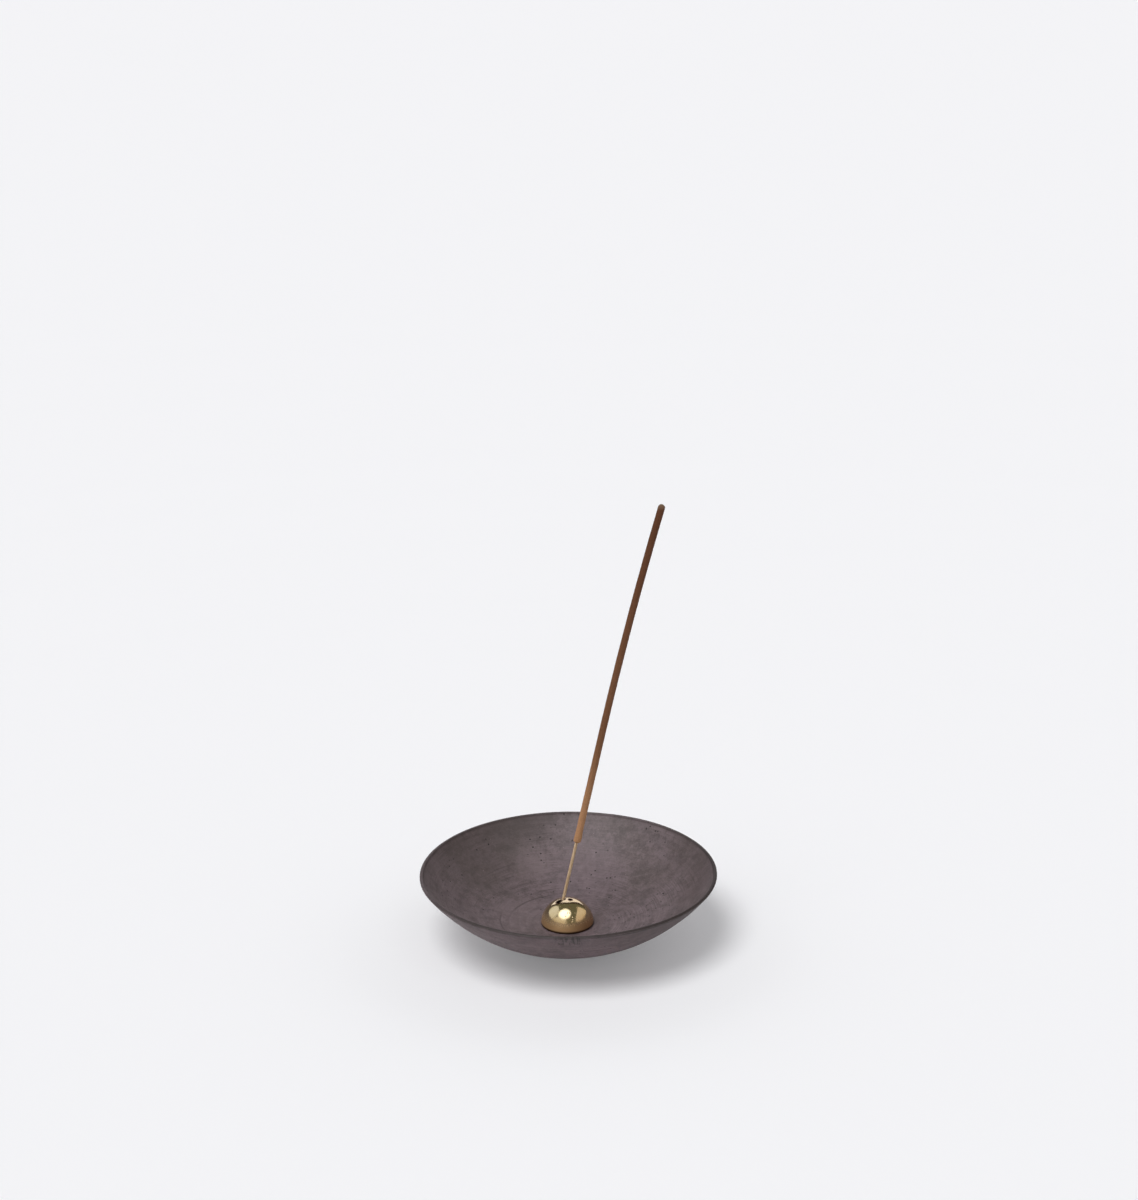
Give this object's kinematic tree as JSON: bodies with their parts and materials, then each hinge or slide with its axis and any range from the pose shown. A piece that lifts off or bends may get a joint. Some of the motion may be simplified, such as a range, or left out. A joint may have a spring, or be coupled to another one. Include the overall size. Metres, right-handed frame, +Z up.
{
  "type": "incense burner",
  "caption": "Shallow stoneware bowl with a loose brass half-ball on its floor, drilled with slanting holes that hold a coated incense stick upright over the bowl.",
  "frame": {"origin": "centre of the foot ring, on the surface that the bowl stands on", "axes": "+Z up, +X the way the stick leans, +Y away from the front"},
  "size_m": [0.144, 0.144, 0.2213],
  "materials": {
    "stoneware": "unglazed, matte, wiped in rings, mottled grey-brown",
    "brass": "polished",
    "bamboo": "bare split bamboo, dry and fibrous",
    "incense": "hand-rolled wood-powder paste, dry and finely grained"
  },
  "bodies": {
    "bowl": {"bowl": "stoneware"},
    "holder": {"stick_holder": "brass"},
    "stick": {"bamboo_core": "bamboo", "incense_paste": "incense"}
  },
  "joints": [
    {"name": "holder_lift", "type": "slide", "parent": "bowl", "child": "holder", "axis": [0, 0, 1], "range_m": [0, 0.05]},
    {"name": "stick_pull", "type": "slide", "parent": "holder", "child": "stick", "axis": [0.2164, 0, 0.9763], "range_m": [0, 0.25]}
  ]
}
